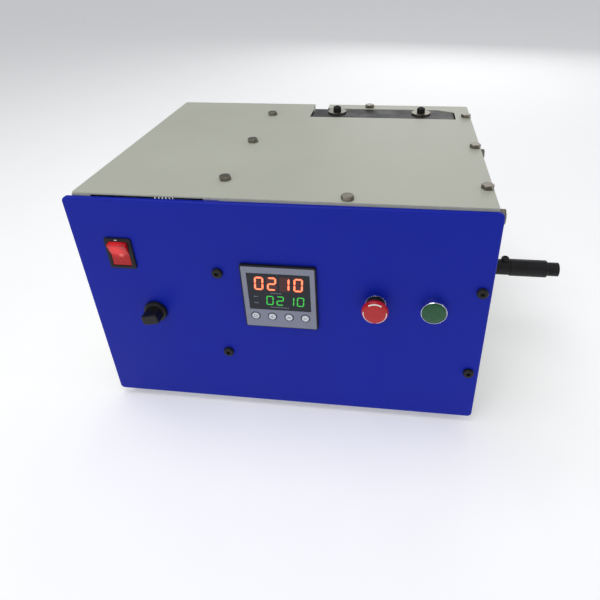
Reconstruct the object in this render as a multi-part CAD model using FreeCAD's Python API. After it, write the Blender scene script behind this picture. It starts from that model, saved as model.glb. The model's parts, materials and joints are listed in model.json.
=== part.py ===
import FreeCAD, Part
import math
import os
from FreeCAD import Vector

# Hot foil stamper, bench model. Lengths are in millimetres.
# While it is built, X runs right from near the control panel's left edge, Y runs back from the
# panel's front face, and Z runs up from the bench. save() moves every piece so that the origin
# is under the middle of the whole machine, on the bench.

# ---- driving dimensions ------------------------------------------------------------------
PANEL_X0, PANEL_X1 = -1.5, 389.3     # sides of the blue control panel
BODY_H = 242.3                       # from the panel's lower edge to under the top plate
PANEL_DROP = 1.6                     # how far the panel's top edge is below that
PANEL_Z = 8.0                        # its bottom edge above the bench
PANEL_T = 5.0                        # the panel's thickness
DEPTH = 294.6                        # control panel's face to the rear edge of the top plate
COVER = 1.5                          # top plate, side cover and rear covers
FOOT_H, FOOT_R = 10.0, 12.5
BODY_X0, BODY_X1 = 7.3, 385.0        # sides of the body behind the panel
BASE_T = 5.0
PLATE_T = 14.0                       # the two upright frame plates
LEFT_PLATE_X0 = 131.0
BAR = 14.0                           # thickness of the tie bars

ROD_X = (220.0, 325.5)               # guide rods of the press head
ROD_Y, ROD_R = 262.0, 6.0
STROKE = 29.0
SHAFT_Y, SHAFT_Z, SHAFT_R = 137.0, 110.0, 8.0
SLEEVE_R = 10.0
SHAFT_END = 489.0
PRESS_ARM, DRIVE_ARM = 125.0, 90.0   # level distance from the shaft to the pins they move
PIN_R = 5.0
FIT = 0.05                           # radial clearance of shafts, pins and rods in their holes
TAP = 0.02                           # gap between a bolt's shank and its hole

TOP_BOLTS = [(139.5, 44), (139.5, 146), (139.5, 245), (379.5, 44), (379.5, 146), (379.5, 250)]
FRONT_BOLT, REAR_BOLT = (258, 12), (260, 284)
PANEL_SCREWS = [(135.5, 167.5), (134.5, 69), (380.5, 161.5), (379, 63.5)]  # X, height on the panel
SIDE_BOLTS = [(150, 243), (286, 236), (250, 173), (274, 173)]              # Y, Z on each frame plate
CORNER_BOLT, CORNER_R = (13.5, 240), 4.0   # Y, Z of the larger bolts into the front tie bar
SHANK_R, HEX_AF, HEX_H = 3.0, 10.0, 4.0
CORNER_AF, CORNER_H = 13.0, 5.3
WASHER = 1.2
SMALL_R, SMALL_HOLE = 1.5, 1.7       # the covers' screws and the clearance holes for them
SMALL_HEAD = (3.0, 1.8, 2.0)         # their head's radius and height, and the socket
BASE_SCREW_Y = (40, 260)             # through the left cover's foot into the base plate

ROCKER = (43.2, 184.3)               # controls: X, and height on the panel
SELECTOR = (65.0, 117.5)
CONTROLLER = (158.3, 108.0)          # left and bottom edges
CONTROLLER_W = 72.0
ESTOP = (285.3, 142.0)
START = (339.0, 141.0)
CONTROLLER_FACE = -3.4               # Y of the front of its bezel
ESTOP_FACE = 17.0                    # how far the mushroom stands out of the panel
INLET_PROUD = 3.0                    # how far the inlet and its screws stand out at the rear

# ---- worked out from them ----------------------------------------------------------------
BODY_TOP = PANEL_Z + BODY_H
TOP = BODY_TOP + COVER              # upper face of the top plate
BASE_Z0 = PANEL_Z + 2.0
BASE_Z1 = BASE_Z0 + BASE_T
RIGHT_PLATE_X0 = BODY_X1 - PLATE_T
LEFT_PLATE_X1 = LEFT_PLATE_X0 + PLATE_T
SWING = math.atan(STROKE / 2 / PRESS_ARM)      # the arms swing this far each side of level
CARRIAGE_PIN_Z = SHAFT_Z + STROKE / 2
DRIVE_PIN_Z = SHAFT_Z - DRIVE_ARM * math.tan(SWING)
DRIVE_PIN_Y = SHAFT_Y - DRIVE_ARM
ORIGIN = Vector((PANEL_X0 + SHAFT_END) / 2, (DEPTH + INLET_PROUD - ESTOP_FACE) / 2, 0)

X, Y, Z = Vector(1, 0, 0), Vector(0, 1, 0), Vector(0, 0, 1)


# ---- helpers -----------------------------------------------------------------------------
def save(name, *solids):
    shape = solids[0] if len(solids) == 1 else Part.Compound(list(solids))
    moved = shape.copy()
    moved.translate(ORIGIN * -1)
    moved.exportStep("parts/" + name + ".step")


def box(x0, x1, y0, y1, z0, z1):
    return Part.makeBox(x1 - x0, y1 - y0, z1 - z0, Vector(x0, y0, z0))


def rod(point, direction, radius, length):
    return Part.makeCylinder(radius, length, Vector(*point), direction)


def tube(point, direction, outer, inner, length):
    return rod(point, direction, outer, length).cut(rod(point, direction, inner, length))


def prism(points, direction):
    """A flat outline of (x, y, z) points, pushed along direction."""
    corners = [Vector(*p) for p in points]
    return Part.Face(Part.makePolygon(corners + corners[:1])).extrude(direction)


def round_edges(shape, radius, along):
    """Rounds the straight edges that run along the given axis."""
    chosen = []
    for edge in shape.Edges:
        if isinstance(edge.Curve, Part.Line):
            line = edge.tangentAt(edge.FirstParameter)
            if abs(abs(line.dot(along)) - 1) < 1e-6:
                chosen.append(edge)
    return shape.makeFillet(radius, chosen)


def soften(shape, radius, place, value):
    """Rounds the edges that lie whole in the plane where coordinate place is value."""
    chosen = [e for e in shape.Edges
              if all(abs(v.Point[place] - value) < 1e-6 for v in e.Vertexes)
              and abs(e.CenterOfMass[place] - value) < 1e-6]
    return shape.makeFillet(radius, chosen)


def aim(shape, point, direction):
    """Turns a shape built along +Z to point along direction, with its zero at point."""
    turned = shape.copy()
    turned.Placement = FreeCAD.Placement(Vector(*point), FreeCAD.Rotation(Z, direction))
    return turned


def revolve(profile, point, direction):
    """Turns an outline of (radius, height) points round the line through point."""
    corners = [Vector(r, 0, h) for r, h in profile]
    face = Part.Face(Part.makePolygon(corners + corners[:1]))
    return aim(face.revolve(Vector(0, 0, 0), Z, 360), point, direction)


def hexagon(across_flats, height):
    reach = across_flats / math.sqrt(3)
    corners = [(reach * math.cos(math.radians(60 * i)), reach * math.sin(math.radians(60 * i)), 0)
               for i in range(6)]
    return prism(corners, Vector(0, 0, height))


def hex_bolt(point, outward, length, shank=SHANK_R, washer=0.0):
    """Hex-head screw, with a washer that thick; its seat is at point, its head faces outward."""
    flats, height = (HEX_AF, HEX_H) if shank == SHANK_R else (CORNER_AF, CORNER_H)
    reach = flats / math.sqrt(3)
    dome = Part.makeCone(reach + height * 1.2, reach - 0.75, height)
    head = hexagon(flats, height).common(dome)
    head.translate(Vector(0, 0, washer))
    bolt = head.fuse(Part.makeCylinder(shank, length + washer, Vector(0, 0, -length)))
    if washer:
        bolt = bolt.fuse(Part.makeCylinder(flats * 0.62, washer))
    return aim(bolt.removeSplitter(), point, outward)


def round_screw(point, outward, length, head_r, head_h, socket, shank_r=SHANK_R):
    """Button or cap screw with a hexagon socket across the given flats."""
    head = Part.makeCylinder(head_r, head_h)
    head = soften(head, min(head_h, head_r) * 0.45, 2, head_h)
    key = hexagon(socket, head_h)
    key.translate(Vector(0, 0, head_h * 0.4))
    shank = Part.makeCylinder(shank_r, length, Vector(0, 0, -length))
    return aim(head.cut(key).fuse(shank).removeSplitter(), point, outward)


def drill(shape, point, direction, radius, length):
    return shape.cut(rod(point, direction, radius, length))


def on_panel(place, y=0.0):
    """A point on the control panel from its X and its height on the panel."""
    return (place[0], y, PANEL_Z + place[1])


# ---- casing ------------------------------------------------------------------------------
def front_panel():
    """The control panel, a thick plate with rounded corners, cut out for what it carries."""
    panel = box(PANEL_X0, PANEL_X1, 0, PANEL_T, PANEL_Z, BODY_TOP - PANEL_DROP)
    panel = soften(round_edges(panel, 4.5, Y), 1.8, 1, 0)
    x, _, z = on_panel(ROCKER)
    panel = panel.cut(box(x - 11.6, x + 11.6, 0, PANEL_T, z - 14.6, z + 14.6))
    x, _, z = on_panel(CONTROLLER)
    panel = panel.cut(box(x + 2, x + CONTROLLER_W - 2, 0, PANEL_T, z + 2, z + CONTROLLER_W - 2))
    for place, radius in ((SELECTOR, 5.0), (ESTOP, 8.1), (START, 9.6)):
        panel = drill(panel, on_panel(place), Y, radius, PANEL_T)
    for place in PANEL_SCREWS:
        panel = drill(panel, on_panel(place), Y, SHANK_R + 0.2, PANEL_T)
    save("front_panel", panel)


def head_slot(z, thickness, gap):
    """The opening over the press head, smaller by gap all round; its rear right corner is cut."""
    x0, x1, y0, y1 = 188 + gap, 367 - gap, 240 + gap, 277 - gap
    outline = [(x0, y0, z), (x1, y0, z), (x1, y1 - 9, z), (x1 - 20, y1, z), (x0, y1, z)]
    return prism(outline, Vector(0, 0, thickness))


def notch(z0, z1):
    """The gap from the head slot out through the rear edge."""
    return box(187, 206, 276, DEPTH + 1, z0, z1)


def top_plate():
    plate = round_edges(box(BODY_X0, BODY_X1, PANEL_T, DEPTH, BODY_TOP, TOP), 2.0, Z)
    plate = plate.cut(head_slot(BODY_TOP, COVER, 0)).cut(notch(BODY_TOP, TOP))
    for x, y in TOP_BOLTS + [FRONT_BOLT, REAR_BOLT]:
        plate = drill(plate, (x, y, BODY_TOP), Z, SHANK_R + 0.2, COVER)
    save("top_plate", plate)


def vent_slots(count, pitch, point, length, along, through):
    """A row of slots with round ends; along is the row's direction, through is the sheet's."""
    slots = []
    for i in range(count):
        at = Vector(*point) + along * (pitch * i)
        low, high = at - Z * (length / 2), at + Z * (length / 2)
        side = along * 2
        flat = prism([low - side, low + side, high + side, high - side], through)
        slots += [flat, rod(low, through, 2, through.Length), rod(high, through, 2, through.Length)]
    return slots[0].multiFuse(slots[1:])


def left_side_cover():
    x0, x1 = BODY_X0, BODY_X0 + COVER
    y0, y1 = PANEL_T, DEPTH - COVER - 0.1
    cover = box(x0, x1, y0, y1, BASE_Z0, BODY_TOP)
    cover = cover.fuse(box(x0, x0 + 18, y0, y1, BODY_TOP - COVER, BODY_TOP))
    cover = cover.cut(vent_slots(14, 9.0, (x0, 150, 175), 46, Y, X * COVER))
    for y in BASE_SCREW_Y:
        cover = drill(cover, (x0, y, BASE_Z0 + BASE_T / 2), X, SMALL_HOLE, COVER)
    save("left_side_cover", cover.removeSplitter())


def rear_panel():
    y0, y1 = DEPTH - COVER, DEPTH
    panel = box(BODY_X0, LEFT_PLATE_X1, y0, y1, BASE_Z0, BODY_TOP)
    panel = panel.cut(box(*INLET_HOLE, y0, y1, INLET_Z - 10.2, INLET_Z + 10.2))
    panel = panel.cut(vent_slots(10, 8.0, (34, y0, 190), 44, X, Y * COVER))
    for x, z in REAR_SCREWS[:4]:
        panel = drill(panel, (x, y0, z), Y, SMALL_HOLE, COVER)
    for dx in INLET_SCREWS:
        panel = drill(panel, (INLET_X + dx, y0, INLET_Z), Y, SMALL_HOLE, COVER)
    save("rear_panel", panel)


def rear_guard():
    y0, y1 = DEPTH - COVER, DEPTH
    x0, x1 = LEFT_PLATE_X1 + 0.3, RIGHT_PLATE_X0 - 0.3
    guard = box(x0, x1, y0, y1, 150, 232).fuse(box(x0, x1, y0 - 9, y1, 150, 150 + COVER))
    guard = guard.removeSplitter()
    for x, z in REAR_SCREWS[4:]:
        guard = drill(guard, (x, y0, z), Y, SMALL_HOLE, COVER)
    save("rear_guard", guard)


INLET_X, INLET_Z = 72.0, 96.0
INLET_HOLE = (INLET_X - 14.2, INLET_X + 14.2)
INLET_SCREWS, FLANGE_T = (-20, 20), 1.2
REAR_SCREWS = [(137, 30), (137, 215), (14, 30), (14, 215), (165, 225), (258, 225), (352, 225)]


def cover_screws():
    screws = [round_screw((x, DEPTH, z), Y, 6, *SMALL_HEAD, SMALL_R) for x, z in REAR_SCREWS]
    screws += [round_screw((INLET_X + dx, DEPTH + FLANGE_T, INLET_Z), Y, 7, *SMALL_HEAD, SMALL_R)
               for dx in INLET_SCREWS]
    screws += [round_screw((BODY_X0, y, BASE_Z0 + BASE_T / 2), X * -1, 6, *SMALL_HEAD, SMALL_R)
               for y in BASE_SCREW_Y]
    save("cover_screws", *screws)


# ---- frame -------------------------------------------------------------------------------
FOOT_PLACES = [(32, 34), (360, 34), (32, 268), (360, 268)]


def base_plate():
    plate = box(BODY_X0 + COVER, BODY_X1, PANEL_T, DEPTH - COVER, BASE_Z0, BASE_Z1)
    for x in (165, 232):
        plate = drill(plate, (x, 14, BASE_Z0), Z, SHANK_R + TAP, BASE_T)
    for y in BASE_SCREW_Y:
        plate = drill(plate, (BODY_X0, y, BASE_Z0 + BASE_T / 2), X, SMALL_R + TAP, 10)
    save("base_plate", plate)


def feet():
    save("feet", *[revolve([(0, 0), (FOOT_R - 1.5, 0), (FOOT_R - 1, 0.5), (FOOT_R, FOOT_H - 1.5),
                            (FOOT_R - 0.6, FOOT_H), (0, FOOT_H)], (x, y, 0), Z)
                   for x, y in FOOT_PLACES])


def frame_plate(name, x0, rear):
    """An upright plate, tapped or drilled for everything that is fixed to it."""
    x1 = x0 + PLATE_T
    plate = box(x0, x1, PANEL_T, rear, BASE_Z1, BODY_TOP)
    for x, y in TOP_BOLTS:
        plate = drill(plate, (x, y, BODY_TOP - 20), Z, SHANK_R + TAP, 20)
    for place in PANEL_SCREWS:
        plate = drill(plate, on_panel(place, PANEL_T), Y, SHANK_R + TAP, 16)
    for y, z in SIDE_BOLTS:
        plate = drill(plate, (x0, y, z), X, SHANK_R + TAP, PLATE_T)
    plate = drill(plate, (x0,) + CORNER_BOLT, X, CORNER_R + TAP, PLATE_T)
    plate = drill(plate, (x0, SHAFT_Y, SHAFT_Z), X, SHAFT_R + FIT + BUSH_WALL, PLATE_T)
    for x, z in REAR_SCREWS:
        plate = drill(plate, (x, rear - 8, z), Y, SMALL_R + TAP, 8)
    save(name, plate)


def tie_bars():
    """The front, middle and rear bars, under the top plate."""
    x0, x1 = LEFT_PLATE_X1, RIGHT_PLATE_X0
    front = box(x0, x1, PANEL_T, PANEL_T + BAR, 226, BODY_TOP)
    front = drill(front, FRONT_BOLT + (226,), Z, SHANK_R + TAP, 30)
    for x in (x0, x1 - 12):
        front = drill(front, (x,) + CORNER_BOLT, X, CORNER_R + TAP, 12)
    middle = box(x0, x1, 143, 143 + BAR, 232, BODY_TOP)
    for x in (x0, x1 - 8):
        middle = drill(middle, (x,) + SIDE_BOLTS[0], X, SHANK_R + TAP, 8)
    bar = box(x0, x1, DEPTH - COVER - BAR, DEPTH - COVER, 218, BODY_TOP)
    bar = bar.cut(notch(236, BODY_TOP))
    bar = drill(bar, REAR_BOLT + (230,), Z, SHANK_R + TAP, 30)
    for x in (x0, x1 - 8):
        bar = drill(bar, (x,) + SIDE_BOLTS[1], X, SHANK_R + TAP, 8)
    for x, z in REAR_SCREWS[4:]:
        bar = drill(bar, (x, DEPTH - COVER - 8, z), Y, SMALL_R + TAP, 8)
    save("tie_bars", front, middle, bar)


GUIDE_Z0, GUIDE_Z1 = 165.0, 181.0
BUSH_WALL = 3.0


def guide_plate():
    x0, x1 = LEFT_PLATE_X1, RIGHT_PLATE_X0
    plate = box(x0, x1, 238, 286, GUIDE_Z0, GUIDE_Z1)
    for x in ROD_X:
        plate = drill(plate, (x, ROD_Y, GUIDE_Z0), Z, ROD_R + FIT + BUSH_WALL, 20)
    for x in (x0, x1 - 8):
        for place in SIDE_BOLTS[2:]:
            plate = drill(plate, (x,) + place, X, SHANK_R + TAP, 8)
    save("guide_plate", plate)


def bush(point, direction, bore, length):
    """Plain bearing with its flange at point, and its body running along direction."""
    wall = bore + BUSH_WALL
    ring = tube(point, direction, wall, bore, length)
    start = Vector(*point) - direction * 2
    return ring.fuse(tube(start, direction, wall + 3, bore, 2)).removeSplitter()


def bushes():
    """Two for the guide rods and two for the shaft, all pressed in."""
    pressed = [bush((x, ROD_Y, GUIDE_Z0), Z, ROD_R + FIT, GUIDE_Z1 - GUIDE_Z0) for x in ROD_X]
    pressed.append(bush((LEFT_PLATE_X0, SHAFT_Y, SHAFT_Z), X, SHAFT_R + FIT, PLATE_T))
    pressed.append(bush((BODY_X1, SHAFT_Y, SHAFT_Z), X * -1, SHAFT_R + FIT, PLATE_T))
    save("bronze_bushes", *pressed)


def frame_bolts():
    bolts = [hex_bolt((x, y, TOP), Z, 18) for x, y in TOP_BOLTS + [FRONT_BOLT, REAR_BOLT]]
    for x, outward in ((BODY_X1, X), (LEFT_PLATE_X0, X * -1)):
        bolts += [hex_bolt((x, y, z), outward, 20, washer=WASHER) for y, z in SIDE_BOLTS]
        bolts.append(hex_bolt((x,) + CORNER_BOLT, outward, 24, CORNER_R, WASHER))
    bolts += [hex_bolt((x, 14, BASE_Z0), Z * -1, 4.5) for x in (165, 232)]
    save("frame_bolts", *bolts)


def panel_screws():
    save("panel_screws", *[round_screw(on_panel(place), Y * -1, 16, 5.25, 3.3, 4.0)
                           for place in PANEL_SCREWS])


# ---- controls ----------------------------------------------------------------------------
ROCKER_TILT = 10.0


def rocker_switch():
    x, _, z = on_panel(ROCKER)
    rim = box(x - 13.2, x + 13.2, -2.2, 0, z - 16.6, z + 16.6)
    rim = soften(round_edges(rim, 2.5, Y), 0.9, 1, -2.2)
    body = rim.fuse(box(x - 11.4, x + 11.4, 0, 28, z - 14.4, z + 14.4))
    for dx in (-5, 0, 5):
        body = body.fuse(box(x + dx - 0.4, x + dx + 0.4, 28, 36, z - 3, z + 3))
    body = body.cut(box(x - 9.4, x + 9.4, -3, 10, z - 13.2, z + 13.2))
    save("rocker_housing", body.removeSplitter())
    # the paddle's ends follow an arc about its pivot, so it swings inside the frame
    pivot = Vector(x, 1.2, z)
    drum = rod(pivot - X * 9.0, X, 12.8, 18.0)
    rise = 20 * math.tan(math.radians(ROCKER_TILT))
    outline = [(-9, -3.2, 0), (-9, -3.2 - rise, 20), (-9, 5, 20), (-9, 5, -20),
               (-9, -3.2 - rise, -20)]
    wedge = prism(outline, X * 18)
    wedge.translate(pivot)
    paddle = drum.common(wedge)
    paddle.rotate(pivot, X, ROCKER_TILT)
    save("rocker_paddle", paddle)


def selector():
    x, _, z = on_panel(SELECTOR)
    body = box(x - 14, x + 14, PANEL_T + 4, 42, z - 14, z + 14)
    body = body.fuse(rod((x, -0.3, z), Y, 4.9, PANEL_T + 5))
    body = body.fuse(aim(hexagon(14, 4), (x, PANEL_T, z), Y))
    body = drill(body, (x, -1, z), Y, 3 + FIT, 25)
    save("selector_body", body.removeSplitter())
    skirt = revolve([(0, 0), (11.2, 0), (11.8, 0.6), (11.3, 3.6), (9.5, 4.4), (0, 4.4)],
                    (x, -0.6, z), Y * -1)
    grip = box(x - 8.6, x + 8.6, -17, -4, z - 5.4, z + 5.4)
    grip = soften(round_edges(grip, 2.6, Y), 1.2, 1, -17)
    knob = skirt.fuse(grip).fuse(rod((x, -1, z), Y, 3.0, 22))
    knob.rotate(Vector(x, 0, z), Y, -12)
    save("selector_knob", knob.removeSplitter())


def controller():
    x, _, z = on_panel(CONTROLLER)
    w = CONTROLLER_W
    face = CONTROLLER_FACE
    bezel = box(x, x + w, face, 0, z, z + w)
    bezel = soften(round_edges(bezel, 1.6, Y), 0.5, 1, face)
    sheet = box(x + 1.3, x + w - 1.3, face - 0.4, face, z + 1.3, z + w - 1.3)
    sheet = round_edges(sheet, 1.0, Y)
    window = (x + 6, x + 66, z + w - 50, z + w - 8)
    recess = box(window[0], window[1], face - 0.4, face + 1.2, window[2], window[3])
    key_z = z + w - 58
    for dx in KEY_PLACES:
        recess = recess.fuse(rod((x + dx, face - 0.4, key_z), Y, KEY_R + 0.3, 3.0))
    save("controller_bezel", bezel.cut(recess))
    save("controller_sheet", sheet.cut(recess))
    save("controller_window", box(window[0] + 0.1, window[1] - 0.1, face - 0.1, face + 1.2,
                                  window[2] + 0.1, window[3] - 0.1))
    case = box(x + 2.3, x + w - 2.3, 0, 72, z + 2.3, z + w - 2.3)
    case = case.fuse(box(x + 9, x + w - 9, 72, 78, z + 6, z + w - 6))
    for dz in (20, 44):
        case = case.cut(box(x + 14, x + w - 14, 74, 78, z + dz, z + dz + 7))
    save("controller_case", case.removeSplitter())
    for name, dx in zip(KEY_NAMES, KEY_PLACES):
        cap = soften(rod((x + dx, face - 1.1, key_z), Y, KEY_R, 2.8), 0.4, 1, face - 1.1)
        save(name, cap)


KEY_R = 3.5
KEY_PLACES = (11.0, 27.5, 44.0, 60.0)
KEY_NAMES = ("key_set", "key_shift", "key_down", "key_up")


def emergency_stop():
    x, _, z = on_panel(ESTOP)
    body = revolve([(5 + FIT, -5), (5 + FIT, 24), (7.95, 24), (7.95, -0.9), (9.3, -0.9),
                    (9.3, -4.4), (8.6, -5)], (x, 0, z), Y)
    save("estop_housing", body)
    save("button_rings",
         tube((x, -0.9, z), Y, 9.7, 8.02, 0.9),
         tube((START[0], PANEL_T, PANEL_Z + START[1]), Y, 12.5, 9.45, 3.0),
         tube((x, PANEL_T, z), Y, 11.0, 8.0, 3.0))
    save("estop_stem", rod((x, -13.4, z), Y, 5.0, 13.4 + 16))
    crown = revolve([(0, -ESTOP_FACE), (6.5, -ESTOP_FACE + 0.15), (9.8, -ESTOP_FACE + 0.9),
                     (11.7, -ESTOP_FACE + 2.2), (12.5, -ESTOP_FACE + 4.2), (12.4, -11),
                     (11.6, -9.6), (5 + FIT, -9.6), (5 + FIT, -13.7), (0, -13.7)], (x, 0, z), Y)
    save("estop_head", crown)


def start_button():
    x, _, z = on_panel(START)
    body = revolve([(8.3, 24), (9.4, 24), (9.4, 0), (12.2, 0), (12.2, -7.6), (11.9, -8.2),
                    (11.5, -8.2), (11.5, -2.6), (8.3, -2.6)], (x, 0, z), Y)
    save("start_housing", body)
    cap = revolve([(0, -10.3), (4, -10.15), (8, -9.6), (10.4, -8.9), (11.1, -8.1), (11.1, -5.6),
                   (8.0, -5.6), (8.0, 17), (0, 17)], (x, 0, z), Y)
    save("start_cap", cap)


def contact_blocks():
    blocks = []
    for place, start in ((ESTOP, 24), (START, 24)):
        x, _, z = on_panel(place)
        block = box(x - 11, x + 11, start, start + 20, z - 10, z + 10)
        for dx in (-5, 5):
            block = block.fuse(box(x + dx - 1.5, x + dx + 1.5, start + 20, start + 25, z - 4, z + 4))
        blocks.append(block.removeSplitter())
    save("contact_blocks", *blocks)


# ---- press head --------------------------------------------------------------------------
CARRIAGE = (188.5, 357.0, 240.0, 284.0, 118.0, 132.0)
INSULATION_Z, BLOCK_Z0, HOLDER_Z0, DIE_Z0 = 112.0, 84.0, 77.0, 73.0
BEAM_Z0, BEAM_Z1 = 239.5, 251.3


def press_beam():
    beam = head_slot(BEAM_Z0, BEAM_Z1 - BEAM_Z0, 2.0)
    for x in ROD_X:
        beam = drill(beam, (x, ROD_Y, BEAM_Z0), Z, SHANK_R + 0.2, 20)
    save("press_beam", beam)
    save("beam_washers", *[tube((x, ROD_Y, BEAM_Z1), Z, 11.5, SHANK_R + 0.2, 2.0) for x in ROD_X])
    save("beam_screws", *[round_screw((x, ROD_Y, BEAM_Z1 + 2), Z, 26, 5.0, 6.0, 5.0)
                          for x in ROD_X])


def guide_rods():
    z0, z1 = CARRIAGE[5], BEAM_Z0
    rods = []
    for x in ROD_X:
        one = rod((x, ROD_Y, z0), Z, ROD_R, z1 - z0)
        rods.append(drill(one, (x, ROD_Y, z1 - 20), Z, SHANK_R + TAP, 20))
    save("guide_rods", *rods)


def carriage():
    x0, x1, y0, y1, z0, z1 = CARRIAGE
    plate = round_edges(box(x0, x1, y0, y1, z0, z1), 3.0, Z)
    pin = rod((x0 - 12.5, ROD_Y, CARRIAGE_PIN_Z), X, PIN_R, x1 - x0 + 25)
    save("carriage", plate.fuse(pin).removeSplitter())


def heater():
    save("insulation_plate", box(195, 350, 242, 282, INSULATION_Z, CARRIAGE[4]))
    block = round_edges(box(200, 345, 242, 282, BLOCK_Z0, INSULATION_Z), 2.0, Z)
    middle = (BLOCK_Z0 + INSULATION_Z) / 2
    heaters = []
    for y in (252, 272):
        block = drill(block, (200, y, middle), X, 4.8, 145)
        heaters.append(rod((203, y, middle), X, 4.75, 147))
    block = drill(block, (200, 262, middle), X, 2.05, 50)
    save("heater_block", block)
    probe = rod((194, 262, middle), X, 2.0, 54).fuse(aim(hexagon(8, 4), (194, 262, middle), X))
    save("heaters_and_probe", *heaters, probe.removeSplitter())


def type_holder():
    plate = box(205, 340, 246, 278, HOLDER_Z0, BLOCK_Z0)
    for x0, x1 in ((222, 231.5), (313.5, 323)):
        plate = plate.fuse(box(x0, x1, 246, 278, HOLDER_Z0 - 3, HOLDER_Z0))
    save("type_holder", plate.removeSplitter())
    die = box(232, 313, 250, 274, DIE_Z0 + 1.6, HOLDER_Z0)
    die = die.fuse(box(240, 305, 254, 270, DIE_Z0, DIE_Z0 + 1.6))
    die = die.cut(box(243, 302, 256.5, 267.5, DIE_Z0, DIE_Z0 + 1.2))
    die = die.fuse(rod((272.5, 262, DIE_Z0), Z, 4.2, 1.6))
    save("stamping_die", die.removeSplitter())


def anvil():
    block = round_edges(box(205, 340, 236, 286, BASE_Z1, 40.7), 3.0, Z)
    save("anvil_block", block)
    save("anvil_pad", round_edges(box(208, 337, 239, 283, 40.7, 43.7), 2.0, Z))


def return_springs():
    wire, radius = 1.1, 9.2
    low, high = GUIDE_Z1 + wire + 0.05, BEAM_Z0 - wire - 0.05
    turns = 8.0
    springs = []
    for x in ROD_X:
        helix = Part.makeHelix((high - low) / turns, high - low, radius)
        helix.translate(Vector(x, ROD_Y, low))
        start = helix.Edges[0].Vertexes[0].Point
        heading = helix.Edges[0].tangentAt(helix.Edges[0].FirstParameter)
        section = Part.Wire(Part.makeCircle(wire, start, heading))
        springs.append(Part.Wire(helix.Edges).makePipeShell([section], True, True))
    save("return_springs", *springs)


# ---- rocker shaft and its arms -----------------------------------------------------------
def arm(x0, x1, hub, length, side):
    """A lever on the shaft; side is 1 for the rear arms and -1 for the front one."""
    reach = length * (1 + math.cos(SWING)) / (2 * math.cos(SWING))
    tip = (x0, SHAFT_Y + side * reach, SHAFT_Z)
    blade = rod(tip, X, 11, x1 - x0)
    lean = side * reach
    outline = [(x0, SHAFT_Y, SHAFT_Z + 14), (x0, SHAFT_Y + lean, SHAFT_Z + 11),
               (x0, SHAFT_Y + lean, SHAFT_Z - 11), (x0, SHAFT_Y, SHAFT_Z - 14)]
    blade = blade.fuse(prism(outline, X * (x1 - x0)))
    blade = blade.fuse(rod((hub[0], SHAFT_Y, SHAFT_Z), X, 16, hub[1] - hub[0]))
    play = 1.2
    for dy in (-play, play):
        blade = drill(blade, (x0, tip[1] + dy, SHAFT_Z), X, PIN_R + FIT, x1 - x0)
    blade = blade.cut(box(x0, x1, tip[1] - play, tip[1] + play,
                          SHAFT_Z - PIN_R - FIT, SHAFT_Z + PIN_R + FIT))
    blade = drill(blade, (hub[0], SHAFT_Y, SHAFT_Z), X, SHAFT_R, hub[1] - hub[0])
    blade = blade.removeSplitter()
    blade.rotate(Vector(0, SHAFT_Y, SHAFT_Z), X, math.degrees(SWING))
    return blade


DRIVE_X = 258.0
SLEEVE = (396.0, 476.0)


def shaft():
    start = LEFT_PLATE_X0 + 1
    bar = rod((start, SHAFT_Y, SHAFT_Z), X, SHAFT_R, SHAFT_END - start)
    pitch, depth = 2.4, 0.9
    first = SLEEVE[1] + 1.5
    while first + pitch < SHAFT_END:
        ring = revolve([(SHAFT_R - depth, pitch / 2), (SHAFT_R + 1, pitch * 0.1),
                        (SHAFT_R + 1, pitch * 0.9)], (first, SHAFT_Y, SHAFT_Z), X)
        bar = bar.cut(ring)
        first += pitch
    save("rocker_shaft", bar)
    save("press_arms", arm(176, 186, (173, 188.5), PRESS_ARM, 1),
         arm(359.5, 369.5, (357, 370.4), PRESS_ARM, 1))
    save("drive_arm", arm(DRIVE_X - 6, DRIVE_X + 6, (DRIVE_X - 10, DRIVE_X + 10), DRIVE_ARM, -1))


def lever_sleeve():
    x0, x1 = SLEEVE
    sleeve = revolve([(SHAFT_R, x0), (SLEEVE_R - 0.8, x0), (SLEEVE_R - 0.8, x0 + 38),
                      (SLEEVE_R, x0 + 39), (SLEEVE_R, x1 - 0.8), (SLEEVE_R - 0.8, x1),
                      (SHAFT_R, x1)], (0, SHAFT_Y, SHAFT_Z), X)
    sleeve = drill(sleeve, (428.5, SHAFT_Y, SHAFT_Z + 6), Z, 2.5 + TAP, 10)
    save("lever_sleeve", sleeve)
    screw = round_screw((428.5, SHAFT_Y, SHAFT_Z + SLEEVE_R - 0.8), Z,
                        SLEEVE_R - 0.8 - SHAFT_R, 4.4, 4.6, 4.0, 2.5)
    save("set_screw", screw)


# ---- actuator ----------------------------------------------------------------------------
TUBE_Z = (37.0, 78.0)


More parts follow.
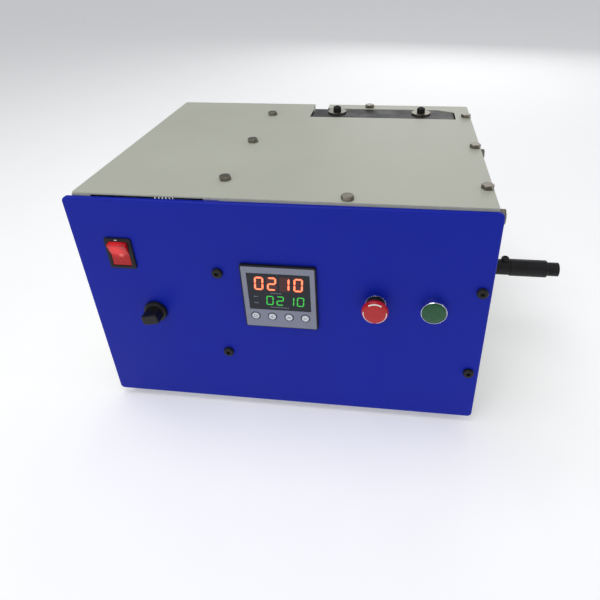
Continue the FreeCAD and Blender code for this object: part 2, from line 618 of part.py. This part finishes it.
def actuator():
    y = DRIVE_PIN_Y
    housing = round_edges(box(DRIVE_X - 22, DRIVE_X + 72, y - 22, y + 22, BASE_Z1, TUBE_Z[0]),
                          8.0, Z)
    housing = housing.fuse(rod((DRIVE_X, y, TUBE_Z[0]), Z, 18, TUBE_Z[1] - TUBE_Z[0]))
    housing = drill(housing, (DRIVE_X, y, 30), Z, 7 + FIT, 60)
    motor = rod((DRIVE_X + 48, y, TUBE_Z[0]), Z, 18.5, 58)
    motor = soften(motor, 2, 2, TUBE_Z[0] + 58)
    motor = motor.fuse(rod((DRIVE_X + 48, y, TUBE_Z[0] + 58), Z, 7, 3))
    save("actuator_body", housing.fuse(motor).removeSplitter())
    stem = rod((DRIVE_X, y, 46), Z, 7.0, 36)
    fork = box(DRIVE_X - 13, DRIVE_X + 13, y - 8, y + 8, 80.6, 86)
    for x in (DRIVE_X - 13, DRIVE_X + 7.5):
        fork = fork.fuse(box(x, x + 5.5, y - 8, y + 8, 86, DRIVE_PIN_Z))
        fork = fork.fuse(rod((x, y, DRIVE_PIN_Z), X, 8, 5.5))
    fork = fork.fuse(rod((DRIVE_X - 14, y, DRIVE_PIN_Z), X, PIN_R, 28))
    save("actuator_rod", stem.fuse(fork).removeSplitter())


# ---- electrical bay ----------------------------------------------------------------------
def power_supply():
    x0, x1, y0, y1, z0, z1 = 20, 118, 156, 284, BASE_Z1, BASE_Z1 + 38
    case = box(x0, x1, y0 + 14, y1, z0, z1).fuse(box(x0, x1, y0, y0 + 14, z0, z0 + 14))
    for i in range(5):
        case = case.cut(box(x0 + 12, x1 - 12, y0 + 34 + 18 * i, y0 + 40 + 18 * i, z1 - 1.5, z1))
    save("power_supply", case.removeSplitter())


def relay():
    x0, y0 = 20, 36
    sink = box(x0, x0 + 50, y0, y0 + 78, BASE_Z1, BASE_Z1 + 6)
    for i in range(7):
        x = x0 + 0.8 + 7.9 * i
        sink = sink.fuse(box(x - 0.8, x + 1.0, y0, y0 + 78, BASE_Z1 + 6, BASE_Z1 + 30))
    sink = sink.fuse(box(x0, x0 + 50, y0, y0 + 78, BASE_Z1 + 30, BASE_Z1 + 34))
    save("heatsink", sink.removeSplitter())
    body = box(x0 + 2.5, x0 + 47.5, y0 + 10, y0 + 68, BASE_Z1 + 34, BASE_Z1 + 52)
    body = body.fuse(box(x0 + 8, x0 + 42, y0 + 22, y0 + 56, BASE_Z1 + 52, BASE_Z1 + 60))
    save("solid_state_relay", body.removeSplitter())


def rail_parts():
    y0, y1 = 34, 146
    x0, x1 = 84, 119
    z = BASE_Z1
    rail = box(x0 + 5, x1 - 5, y0, y1, z, z + 1).fuse(box(x0 + 4, x0 + 5, y0, y1, z, z + 7.5))
    rail = rail.fuse(box(x1 - 5, x1 - 4, y0, y1, z, z + 7.5))
    rail = rail.fuse(box(x0, x0 + 4, y0, y1, z + 6.5, z + 7.5))
    rail = rail.fuse(box(x1 - 4, x1, y0, y1, z + 6.5, z + 7.5))
    save("din_rail", rail.removeSplitter())
    blocks = []
    for i in range(10):
        y = 50 + 8.2 * i
        clip = box(x0 - 2, x1 + 2, y, y + 8, z + 7.5, z + 38)
        clip = clip.cut(box(x0 - 2, x0 + 6, y, y + 8, z + 28, z + 38))
        blocks.append(clip.cut(box(x1 - 6, x1 + 2, y, y + 8, z + 28, z + 38)))
    save("terminal_blocks", *blocks)


def power_inlet():
    x, z = INLET_X, INLET_Z
    body = box(x - 14, x + 14, DEPTH - 24, DEPTH + FLANGE_T, z - 10, z + 10)
    flange = round_edges(box(x - 25, x + 25, DEPTH, DEPTH + FLANGE_T, z - 12, z + 12), 4, Y)
    body = body.fuse(flange)
    cavity = round_edges(box(x - 12, x + 12, DEPTH - 14, DEPTH + FLANGE_T, z - 8, z + 8), 2, Y)
    body = body.cut(cavity)
    for dx, dz in ((-7, -2), (0, 2), (7, -2)):
        body = body.fuse(box(x + dx - 1, x + dx + 1, DEPTH - 14, DEPTH - 3, z + dz - 2, z + dz + 2))
    for dx in INLET_SCREWS:
        body = drill(body, (x + dx, DEPTH, z), Y, SMALL_HOLE, FLANGE_T)
    save("power_inlet", body.removeSplitter())


os.makedirs("parts", exist_ok=True)
for build in (front_panel, top_plate, left_side_cover, rear_panel, rear_guard, cover_screws,
              base_plate, feet, tie_bars, guide_plate, bushes, frame_bolts,
              panel_screws, rocker_switch, selector, controller, emergency_stop, start_button,
              contact_blocks, press_beam, guide_rods, carriage, heater, type_holder, anvil,
              return_springs, shaft, lever_sleeve, actuator, power_supply, relay, rail_parts,
              power_inlet):
    build()
frame_plate("left_frame_plate", LEFT_PLATE_X0, DEPTH - COVER)
frame_plate("right_frame_plate", RIGHT_PLATE_X0, DEPTH)
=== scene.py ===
import json
import math

import bmesh
import bpy
from mathutils import Matrix, Vector


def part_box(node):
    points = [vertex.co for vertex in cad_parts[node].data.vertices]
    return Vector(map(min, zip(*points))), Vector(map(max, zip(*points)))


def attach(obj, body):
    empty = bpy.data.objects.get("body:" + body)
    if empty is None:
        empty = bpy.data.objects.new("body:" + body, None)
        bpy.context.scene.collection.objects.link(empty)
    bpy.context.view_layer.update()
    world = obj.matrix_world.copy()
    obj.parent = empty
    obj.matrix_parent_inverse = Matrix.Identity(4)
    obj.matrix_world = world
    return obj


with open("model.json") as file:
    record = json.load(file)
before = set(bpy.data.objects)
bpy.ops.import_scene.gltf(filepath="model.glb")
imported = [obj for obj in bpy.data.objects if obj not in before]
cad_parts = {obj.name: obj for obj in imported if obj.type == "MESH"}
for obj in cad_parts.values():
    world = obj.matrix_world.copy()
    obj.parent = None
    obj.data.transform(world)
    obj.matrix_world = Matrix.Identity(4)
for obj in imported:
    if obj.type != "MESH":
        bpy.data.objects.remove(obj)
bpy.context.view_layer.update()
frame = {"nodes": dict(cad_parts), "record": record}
MM = 0.001

# ---- camera and studio -------------------------------------------------------------------
CAMERA_FROM_PANEL = Vector((0.3005, -0.3877, 0.4406))   # from the panel's lower left front corner
CAMERA_AZIMUTH, CAMERA_DROP, CAMERA_ROLL = 7.753, 31.222, -1.279
CAMERA_LENS, CAMERA_SHIFT = 31.05, (-0.0550, -0.0904)
SENSOR_WIDTH, NEAREST = 36, 0.01

WORLD_COLOR, WORLD_STRENGTH = (0.93, 0.95, 1.0, 1), 0.36
LIGHTS = (                              # name, place, what it points at, size, power
    ("overhead", (-0.35, -0.15, 1.5), (-0.05, 0.0, 0.2), (1.2, 0.8), 9.5),
    ("front_soft", (-0.5, -1.5, 0.9), (0, -0.1, 0.1), (1.2, 0.9), 4.5),
    ("right_soft", (1.5, -0.2, 0.7), (0.1, 0, 0.1), (0.8, 0.8), 2.5),
    ("rear_soft", (0.3, 1.7, 0.8), (0, 0.1, 0.1), (1.2, 0.8), 5))
FLOOR_REACH, FLOOR_GLOW = 30.0, 0.22


def add_camera():
    data = bpy.data.cameras.new("camera")
    data.lens = CAMERA_LENS
    data.sensor_width = SENSOR_WIDTH
    data.shift_x, data.shift_y = CAMERA_SHIFT
    data.clip_start = NEAREST
    camera = bpy.data.objects.new("camera", data)
    turn = Matrix.Rotation(math.radians(CAMERA_AZIMUTH), 4, "Z")
    turn = turn @ Matrix.Rotation(math.radians(90 - CAMERA_DROP), 4, "X")
    turn = turn @ Matrix.Rotation(math.radians(CAMERA_ROLL), 4, "Z")
    place = Vector(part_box("front_panel")[0]) + CAMERA_FROM_PANEL
    camera.matrix_world = Matrix.Translation(place) @ turn
    bpy.context.scene.collection.objects.link(camera)
    bpy.context.scene.camera = camera


def add_light(name, place, target, size, power):
    data = bpy.data.lights.new(name, "AREA")
    data.shape = "RECTANGLE"
    data.size, data.size_y = size
    data.energy = power
    light = bpy.data.objects.new(name, data)
    light.location = place
    light.rotation_euler = (Vector(target) - Vector(place)).to_track_quat("-Z", "Y").to_euler()
    bpy.context.scene.collection.objects.link(light)


def add_studio():
    world = bpy.data.worlds.new("studio")
    world.use_nodes = True
    background = world.node_tree.nodes["Background"]
    background.inputs["Color"].default_value = WORLD_COLOR
    background.inputs["Strength"].default_value = WORLD_STRENGTH
    bpy.context.scene.world = world
    bpy.context.scene.view_settings.view_transform = "Standard"
    for light in LIGHTS:
        add_light(*light)
    mesh = bpy.data.meshes.new("floor")
    corners = [(x * FLOOR_REACH, y * FLOOR_REACH, 0)
               for x, y in ((-1, -1), (1, -1), (1, 1), (-1, 1))]
    mesh.from_pydata(corners, [], [(0, 1, 2, 3)])
    floor = bpy.data.objects.new("floor", mesh)
    bpy.context.scene.collection.objects.link(floor)
    sheet = finish("studio_floor", (0.96, 0.96, 0.96), 0.9, blotch=0.01)
    surface = sheet.node_tree.nodes["Principled BSDF"]
    surface.inputs["Emission Color"].default_value = (1, 1, 1, 1)
    surface.inputs["Emission Strength"].default_value = FLOOR_GLOW
    mesh.materials.append(sheet)


# ---- materials ---------------------------------------------------------------------------
def add_node(tree, kind, **values):
    """Adds a node and sets its inputs or settings; _ in an input's name stands for a space."""
    made = tree.nodes.new(kind)
    for key, value in values.items():
        label = key.replace("_", " ")
        if hasattr(made, key):
            setattr(made, key, value)
        else:
            made.inputs[label].default_value = value
    return made


def mapped(tree, source, low, high, out_low, out_high):
    made = add_node(tree, "ShaderNodeMapRange")
    for index, value in ((1, low), (2, high), (3, out_low), (4, out_high)):
        made.inputs[index].default_value = value
    tree.links.new(source, made.inputs[0])
    return made.outputs[0]


def blend_color(tree, factor, first, second):
    """Mixes two colours; each is a socket or a plain colour."""
    made = add_node(tree, "ShaderNodeMix", data_type="RGBA")
    tree.links.new(factor, made.inputs[0])
    for index, value in ((6, first), (7, second)):
        if isinstance(value, tuple):
            made.inputs[index].default_value = value + (1,)
        else:
            tree.links.new(value, made.inputs[index])
    return made.outputs[2]


def shade(color, factor):
    return tuple(min(1.0, c * factor) for c in color)


def edge_mask(tree, radius):
    """1 along outside and inside corners, 0 on the flats, from rounded and true normals."""
    bevel = add_node(tree, "ShaderNodeBevel", samples=4, Radius=radius)
    true_normal = add_node(tree, "ShaderNodeNewGeometry")
    dot = add_node(tree, "ShaderNodeVectorMath", operation="DOT_PRODUCT")
    tree.links.new(bevel.outputs[0], dot.inputs[0])
    tree.links.new(true_normal.outputs["Normal"], dot.inputs[1])
    return mapped(tree, dot.outputs["Value"], 0.995, 0.82, 0, 1), bevel.outputs[0]


def finish(name, color, rough, metal=0.0, grain=900.0, depth=0.0, blotch=0.12, blotch_size=14.0,
           stretch=(1, 1, 1), worn=None, edge=0.0, coat=0.0, rough_spread=0.08, dust=0.0,
           specular=0.5):
    """A procedural surface. grain and depth (m) are its fine relief, blotch its slow change of
    tone, worn the colour that shows along edges rounded to edge (m), and dust the pale film on
    faces that look up."""
    made = bpy.data.materials.new(name)
    made.use_nodes = True
    tree = made.node_tree
    surface = tree.nodes["Principled BSDF"]
    surface.inputs["Metallic"].default_value = metal
    surface.inputs["Specular IOR Level"].default_value = specular
    if coat:
        surface.inputs["Coat Weight"].default_value = coat
        surface.inputs["Coat Roughness"].default_value = 0.12
    coords = add_node(tree, "ShaderNodeTexCoord")
    mapping = add_node(tree, "ShaderNodeMapping", Scale=stretch)
    tree.links.new(coords.outputs["Object"], mapping.inputs[0])
    slow = add_node(tree, "ShaderNodeTexNoise", Scale=blotch_size, Detail=5.0, Roughness=0.6)
    tree.links.new(coords.outputs["Object"], slow.inputs["Vector"])
    fine = add_node(tree, "ShaderNodeTexNoise", Scale=grain, Detail=3.0, Roughness=0.6)
    tree.links.new(mapping.outputs[0], fine.inputs["Vector"])
    tone = mapped(tree, slow.outputs[0], 0.3, 0.7, 0, 1)
    paint = blend_color(tree, tone, shade(color, 1 - blotch), shade(color, 1 + blotch))
    speckle = mapped(tree, fine.outputs[0], 0.35, 0.65, 0, 0.5 * blotch + 0.02)
    paint = blend_color(tree, speckle, paint, shade(color, 0.45))
    normal = None
    if dust:
        facing = add_node(tree, "ShaderNodeNewGeometry")
        split = add_node(tree, "ShaderNodeSeparateXYZ")
        tree.links.new(facing.outputs["Normal"], split.inputs[0])
        up = mapped(tree, split.outputs[2], 0.5, 1.0, 0, dust)
        paint = blend_color(tree, up, paint, (0.55, 0.54, 0.5))
    if edge:
        mask, normal = edge_mask(tree, edge)
        if worn:
            broken = add_node(tree, "ShaderNodeTexNoise", Scale=160.0, Detail=4.0)
            tree.links.new(coords.outputs["Object"], broken.inputs["Vector"])
            patch = mapped(tree, broken.outputs[0], 0.42, 0.6, 0, 1)
            both = add_node(tree, "ShaderNodeMath", operation="MULTIPLY")
            tree.links.new(mask, both.inputs[0])
            tree.links.new(patch, both.inputs[1])
            paint = blend_color(tree, both.outputs[0], paint, worn)
    tree.links.new(paint, surface.inputs["Base Color"])
    gloss = mapped(tree, slow.outputs[0], 0.3, 0.7, rough - rough_spread, rough + rough_spread)
    tree.links.new(gloss, surface.inputs["Roughness"])
    if depth:
        relief = add_node(tree, "ShaderNodeBump", Strength=1.0, Distance=depth)
        tree.links.new(fine.outputs[0], relief.inputs["Height"])
        if normal:
            tree.links.new(normal, relief.inputs["Normal"])
        normal = relief.outputs[0]
    if normal:
        tree.links.new(normal, surface.inputs["Normal"])
    return made


def glowing(name, color, strength):
    """A surface that gives off its own light, for the numerals."""
    made = finish(name, color, 0.3, blotch=0.1, blotch_size=400)
    surface = made.node_tree.nodes["Principled BSDF"]
    surface.inputs["Emission Color"].default_value = color + (1,)
    surface.inputs["Emission Strength"].default_value = strength
    return made


def rocker_glow_with_painted_highlight():
    """Red lens lit from behind, with a painted highlight as a hot spot just under the middle and
    painted light fading to painted shade in dark red.
    """
    made = finish("rocker_lens_painted_highlight", (0.30, 0.003, 0.006), 0.25, blotch=0.15, blotch_size=120,
                  specular=0.35)
    tree = made.node_tree
    surface = tree.nodes["Principled BSDF"]
    low, high = (Vector(v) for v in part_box("rocker_paddle"))
    highlight_centre = (low + high) / 2
    coords = add_node(tree, "ShaderNodeTexCoord")
    painted_light_spots = []
    # painted highlight: the small spot just under the middle is the fold's highlight; the wide spot
    # up to the left is painted light on the upper facet
    for offset, reach in (((0.001, 0, -0.001), 0.0042), ((-0.002, 0, 0.006), 0.012)):
        apart = add_node(tree, "ShaderNodeVectorMath", operation="DISTANCE")
        tree.links.new(coords.outputs["Object"], apart.inputs[0])
        apart.inputs[1].default_value = highlight_centre + Vector(offset)
        painted_light_spots.append(mapped(tree, apart.outputs["Value"], reach, reach * 0.2, 0, 1))
    ripple = add_node(tree, "ShaderNodeTexWave", Scale=190.0, Distortion=3.0)
    ripple.bands_direction = "Z"
    tree.links.new(coords.outputs["Object"], ripple.inputs["Vector"])
    # painted shade: away from the wide spot the lens stays dark red, the painted shade of the lower
    # facet
    glow = blend_color(tree, painted_light_spots[1], (0.10, 0.001, 0.002), (0.95, 0.03, 0.035))
    glow = blend_color(tree, mapped(tree, ripple.outputs[1], 0.3, 1, 0, 0.35), glow,
                       (0.35, 0.004, 0.006))
    # painted highlight: the pale hot spot laid over the glow
    glow = blend_color(tree, painted_light_spots[0], glow, (1.0, 0.50, 0.42))
    tree.links.new(glow, surface.inputs["Emission Color"])
    surface.inputs["Emission Strength"].default_value = 0.85
    return made


def galvanised():
    """Zinc-coated sheet with its spangle."""
    made = finish("zinc_sheet", (0.5, 0.51, 0.52), 0.42, metal=0.9, grain=500, depth=0.00001,
                  edge=0.0004)
    tree = made.node_tree
    coords = add_node(tree, "ShaderNodeTexCoord")
    cells = add_node(tree, "ShaderNodeTexVoronoi", Scale=110.0)
    tree.links.new(coords.outputs["Object"], cells.inputs["Vector"])
    level = mapped(tree, cells.outputs["Color"], 0, 1, 0.28, 0.55)
    tree.links.new(level, tree.nodes["Principled BSDF"].inputs["Roughness"])
    return made


def make_materials():
    return {
        "panel_blue": finish("blue_powder_coat", (0.0008, 0.012, 0.36), 0.52, grain=1100,
                             depth=0.000035, blotch=0.06, blotch_size=5,
                             worn=(0.12, 0.2, 0.72), edge=0.0009, rough_spread=0.03,
                             specular=0.2),
        "body_beige": finish("beige_powder_coat", (0.455, 0.465, 0.385), 0.5, grain=1500,
                             depth=0.00009, blotch=0.05, blotch_size=6,
                             worn=(0.62, 0.62, 0.58), edge=0.0007, rough_spread=0.04),
        "black_steel": finish("black_oxide", (0.010, 0.010, 0.011), 0.48, metal=0.1, grain=700,
                              depth=0.00004, blotch=0.3, blotch_size=60, worn=(0.09, 0.09, 0.09),
                              edge=0.0005, specular=0.3),
        "bright_bolt": finish("nickel_plate", (0.23, 0.21, 0.17), 0.36, metal=1.0, grain=1200,
                              depth=0.00002, blotch=0.35, blotch_size=180, worn=(0.6, 0.58, 0.52),
                              edge=0.0004),
        "machined_steel": finish("ground_steel", (0.47, 0.47, 0.475), 0.34, metal=1.0, grain=260,
                                 depth=0.000012, stretch=(1, 14, 14), blotch=0.12,
                                 blotch_size=35, edge=0.0006),
        "bare_aluminium": finish("milled_aluminium", (0.66, 0.665, 0.675), 0.4, metal=1.0,
                                 grain=420, depth=0.00002, stretch=(12, 1, 12), blotch=0.1,
                                 blotch_size=40, edge=0.0006),
        "bronze": finish("sintered_bronze", (0.46, 0.27, 0.1), 0.42, metal=1.0, grain=1600,
                         depth=0.00003, blotch=0.2, blotch_size=120, edge=0.0003),
        "die_brass": finish("engraved_brass", (0.70, 0.49, 0.17), 0.28, metal=1.0, grain=600,
                            depth=0.00001, stretch=(1, 10, 1), blotch=0.15, blotch_size=80,
                            edge=0.0003),
        "foot_rubber": finish("foot_rubber", (0.014, 0.014, 0.015), 0.72, grain=900,
                              depth=0.00008, blotch=0.2, blotch_size=80, edge=0.0006, dust=0.05),
        "silicone": finish("red_silicone", (0.30, 0.045, 0.03), 0.5, grain=700, depth=0.00004,
                           blotch=0.12, blotch_size=30, edge=0.0006, dust=0.03),
        "black_plastic": finish("black_moulding", (0.006, 0.006, 0.007), 0.46, grain=1500,
                                depth=0.00004, blotch=0.15, blotch_size=60, edge=0.0005,
                                specular=0.3),
        "grey_plastic": finish("grey_moulding", (0.225, 0.24, 0.31), 0.45, grain=1800,
                               depth=0.00003, blotch=0.04, blotch_size=40, edge=0.0005),
        "key_white": finish("key_cap", (0.70, 0.72, 0.76), 0.3, grain=900, depth=0.00001,
                            blotch=0.04, edge=0.0003),
        "display": finish("display_window", (0.006, 0.010, 0.018), 0.16, grain=900,
                          blotch=0.1, edge=0.0003, rough_spread=0.03, specular=0.35),
        # rocker lens: its own glow plus a painted highlight and painted shade
        "rocker_red": rocker_glow_with_painted_highlight(),
        "stop_red": finish("stop_red", (0.50, 0.006, 0.010), 0.36, grain=1200, depth=0.00002,
                           blotch=0.06, blotch_size=80, edge=0.0006),
        "start_green": finish("start_green", (0.002, 0.085, 0.022), 0.28, grain=1200,
                              depth=0.00002, blotch=0.2, blotch_size=120, edge=0.0004),
        "bezel_chrome": finish("bezel_chrome", (0.72, 0.74, 0.78), 0.1, metal=1.0, grain=900,
                               blotch=0.04, edge=0.0004, rough_spread=0.03),
        "insulation": finish("mineral_board", (0.52, 0.45, 0.32), 0.85, grain=700,
                             depth=0.00025, blotch=0.25, blotch_size=120, edge=0.0005),
        "zinc_steel": galvanised(),
        "spring_steel": finish("spring_wire", (0.24, 0.24, 0.25), 0.3, metal=1.0, grain=900,
                               depth=0.00001, blotch=0.2, blotch_size=200),
        "terminal_grey": finish("terminal_moulding", (0.30, 0.32, 0.33), 0.5, grain=1300,
                                depth=0.00003, blotch=0.08, edge=0.0004),
    }


def dress_frame(materials):
    """Gives every CAD node the finish of its slot."""
    for part in frame["record"]["subparts"]:
        shape = frame["nodes"][part["node"]]
        for slot in shape.material_slots:
            slot.material = materials[part["material_slot"]]


# ---- small pieces ------------------------------------------------------------------------
def link_piece(name, bm, material, body):
    bmesh.ops.recalc_face_normals(bm, faces=bm.faces)
    mesh = bpy.data.meshes.new(name)
    bm.to_mesh(mesh)
    bm.free()
    mesh.materials.append(material)
    piece = bpy.data.objects.new(name, mesh)
    bpy.context.scene.collection.objects.link(piece)
    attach(piece, body)
    return piece


def flat_piece(name, outlines, face_y, thickness, material, body):
    """Thin shapes standing on a face that looks forward; outlines are (x, z) points in metres."""
    bm = bmesh.new()
    sink = 0.02 * MM
    for outline in outlines:
        back = [bm.verts.new((x, face_y + sink, z)) for x, z in outline]
        front = [bm.verts.new((x, face_y - thickness, z)) for x, z in outline]
        bm.faces.new(front)
        bm.faces.new(back[::-1])
        for i, corner in enumerate(back):
            after = (i + 1) % len(back)
            bm.faces.new((corner, back[after], front[after], front[i]))
    return link_piece(name, bm, material, body)


def stroke(x0, z0, x1, z1, width, pointed=True):
    """A bar from one point to another, with pointed ends as in a lit numeral."""
    along = Vector((x1 - x0, z1 - z0)).normalized()
    side = Vector((-along.y, along.x)) * width / 2
    start, end = Vector((x0, z0)), Vector((x1, z1))
    inset = along * width / 2
    if not pointed:
        return [tuple(p) for p in (start + side, start - side, end - side, end + side)]
    return [tuple(p) for p in (start, start + inset - side, end - inset - side, end,
                               end - inset + side, start + inset + side)]


SEGMENTS = {"0": "abcdef", "1": "bc", "2": "abged"}
LEAN, SEGMENT_GAP = 0.07, 0.12          # sideways per height; gap at a bar's end, in its widths


def numeral(digit, x, z, width, height, thick):
    """Seven-segment numeral with its lower left corner at x, z; it leans a little."""
    gap = thick * SEGMENT_GAP
    left, right, low, high = thick / 2, width - thick / 2, thick / 2, height - thick / 2
    middle = height / 2
    runs = {"a": (left, high, right, high), "g": (left, middle, right, middle),
            "d": (left, low, right, low), "f": (left, middle, left, high),
            "b": (right, middle, right, high), "e": (left, low, left, middle),
            "c": (right, low, right, middle)}
    shapes = []
    for segment in SEGMENTS[digit]:
        x0, z0, x1, z1 = runs[segment]
        along = Vector((x1 - x0, z1 - z0)).normalized() * gap
        bar = stroke(x0 + along.x, z0 + along.y, x1 - along.x, z1 - along.y, thick)
        shapes.append([(x + u + v * LEAN, z + v) for u, v in bar])
    return shapes


def circle(x, z, radius, steps=32, start=0.0):
    return [(x + radius * math.cos(start + 2 * math.pi * i / steps),
             z + radius * math.sin(start + 2 * math.pi * i / steps)) for i in range(steps)]


READING = "0210"
BACK = ((-0.7, 19.7), (9.4, 19.7), (10.3, 3.4), (0.3, 3.4))    # round a numeral's left edge, mm
DASH_ROWS = ((22, 22.2, 10), (5, 27, 4), (5, 34.4, 4), (21, 38.8, 18))   # left, down, length, mm
DASH, DASH_H, DASH_PITCH, DASH_SPARE = 0.9, 1.1, 1.5, 0.6
NUMERAL_T, PRINT_T, FILM_T = 0.12, 0.05, 0.04                  # how far they stand up, mm


def display_reading():
    """Two rows of lit numerals and the dim marks beside them."""
    (x0, y0, _), (_, _, z1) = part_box("controller_window")
    red = glowing("red_numerals", (1.0, 0.16, 0.07), 1.9)
    green = glowing("green_numerals", (0.03, 0.50, 0.05), 0.55)
    dim = finish("window_print", (0.20, 0.22, 0.26), 0.5, blotch=0.1)
    glow = glowing("numeral_glow", (0.05, 0.003, 0.002), 0.18)
    # name, material, slot, left edges, foot below the window's top, width, height, stroke; mm
    rows = (("upper_reading", red, "rocker_red", (6.3, 18.6, 31.2, 43.9), 19.0, 8.8, 15.0, 1.7),
            ("lower_reading", green, "start_green", (16.6, 26.5, 36.6, 46.2), 36.2, 7.0, 10.8, 1.1))
    for name, material, slot, lefts, foot, width, height, thick in rows:
        shapes = []
        for digit, left in zip(READING, lefts):
            shapes += numeral(digit, x0 + left * MM, z1 - foot * MM, width * MM, height * MM,
                              thick * MM)
        flat_piece(name, shapes, y0, NUMERAL_T * MM, material, "casing")
    backs = [[(x0 + (left + u) * MM, z1 - v * MM) for u, v in BACK] for left in rows[0][3]]
    flat_piece("numeral_backs", backs, y0, FILM_T * MM, glow, "casing")
    marks = []
    for u, v, length in DASH_ROWS:
        at = x0 + u * MM
        while at < x0 + (u + length) * MM - DASH_SPARE * MM:
            end = at + DASH * MM
            marks.append(stroke(at, z1 - v * MM, end, z1 - v * MM, DASH_H * MM, False))
            at += DASH_PITCH * MM
    flat_piece("window_marks", marks, y0, PRINT_T * MM, dim, "casing")


KEYS = (("key_set", "set_key"), ("key_shift", "shift_key"), ("key_down", "down_key"),
        ("key_up", "up_key"))
ROUND_RING, SQUARE_RING = ((3.9, 0), (3.9, 0.15)), ((4.5, 0.15), (4.5, -0.02))  # radius, rise; mm
HALF_SIDE = math.pi / 8                 # half the angle of one side of the eight-sided surround
SIGN_R = 1.5


def key_marks():
    """A dark surround and a plain sign for each key of the controller."""
    ink = finish("key_print", (0.02, 0.022, 0.03), 0.5, blotch=0.1)
    surround = finish("key_surround", (0.035, 0.045, 0.085), 0.5, grain=1500, depth=0.00003)
    sheet_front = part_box("controller_sheet")[0][1]
    for node, body in KEYS:
        low, high = (Vector(v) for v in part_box(node))
        x, z = (low.x + high.x) / 2, (low.z + high.z) / 2
        bm = bmesh.new()
        rings = []
        for radius, rise in ROUND_RING + SQUARE_RING:
            reach = radius * MM
            if (radius, rise) in SQUARE_RING:
                reach = radius * MM / math.cos(HALF_SIDE)
            turned = circle(x, z, reach, 8, HALF_SIDE)
            rings.append([bm.verts.new((u, sheet_front - rise * MM, v)) for u, v in turned])
        for inner, outer in zip(rings, rings[1:] + rings[:1]):
            for i in range(8):
                after = (i + 1) % 8
                bm.faces.new((inner[i], inner[after], outer[after], outer[i]))
        link_piece(node + "_surround", bm, surround, "casing")
        d = SIGN_R * MM
        ring = circle(x, z, d, 12)
        signs = {
            "key_set": [stroke(*a, *b, 0.45 * MM, False)
                        for a, b in zip(ring, ring[1:] + ring[:1])],
            "key_shift": [stroke(x + d * 0.7, z + d, x - d * 0.7, z, 0.5 * MM, False),
                          stroke(x - d * 0.7, z, x + d * 0.7, z - d, 0.5 * MM, False)],
            "key_down": [stroke(x - d, z - d * 0.5, x, z + d * 0.7, 0.5 * MM, False),
                         stroke(x, z + d * 0.7, x + d, z - d * 0.5, 0.5 * MM, False)],
            "key_up": [stroke(x - d, z, x + d, z, 0.6 * MM, False)]}
        flat_piece(node + "_sign", signs[node], low.y, FILM_T * MM, ink, body)


CROWN_R, CROWN_DROP, CROWN_FALL = 9.8, 0.9, (1.3, 1.9)   # where the crown's slope starts, mm
ARC_R, ARC_STEPS, ARC_RISE, ARC_SINK = (10.2, 11.1), 26, 0.1, -0.05
ARCS = ((56, 124), (172, 262), (278, 368))               # degrees


def stop_arrows():
    """Three white arcs on the mushroom, round its edge."""
    white = finish("arrow_print", (0.82, 0.80, 0.80), 0.4, blotch=0.04)
    low, high = (Vector(v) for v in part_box("estop_head"))
    x, z, face = (low.x + high.x) / 2, (low.z + high.z) / 2, low.y
    bm = bmesh.new()

    def crown(radius):
        """How far behind the face the crown's surface is at this radius, in mm."""
        return CROWN_DROP + (radius - CROWN_R) * CROWN_FALL[0] / CROWN_FALL[1]

    inner, outer = ARC_R
    for start, end in ARCS:
        rows = []
        for i in range(ARC_STEPS + 1):
            angle = math.radians(start + (end - start) * i / ARC_STEPS)
            row = []
            for radius, lift in ((inner, ARC_RISE), (outer, ARC_RISE), (outer, ARC_SINK),
                                 (inner, ARC_SINK)):
                row.append(bm.verts.new((x + radius * MM * math.cos(angle),
                                         face + (crown(radius) - lift) * MM,
                                         z + radius * MM * math.sin(angle))))
            rows.append(row)
        for before, after in zip(rows, rows[1:]):
            for i in range(4):
                j = (i + 1) % 4
                bm.faces.new((before[i], before[j], after[j], after[i]))
        bm.faces.new(rows[0])
        bm.faces.new(rows[-1][::-1])
    link_piece("stop_arrows", bm, white, "stop_mushroom")


def rocker_mark():
    """The white line at the top of the rocker switch's frame."""
    white = finish("rocker_print", (0.8, 0.8, 0.8), 0.4, blotch=0.04)
    (x0, y0, _), (x1, _, z1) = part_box("rocker_housing")
    x, z = (x0 + x1) / 2 - 1.0 * MM, z1 - 1.6 * MM
    flat_piece("rocker_mark", [stroke(x - 1.3 * MM, z, x + 1.3 * MM, z, 0.8 * MM, False)],
               y0, PRINT_T * MM, white, "casing")


add_camera()
dress_frame(make_materials())
add_studio()
display_reading()
key_marks()
stop_arrows()
rocker_mark()
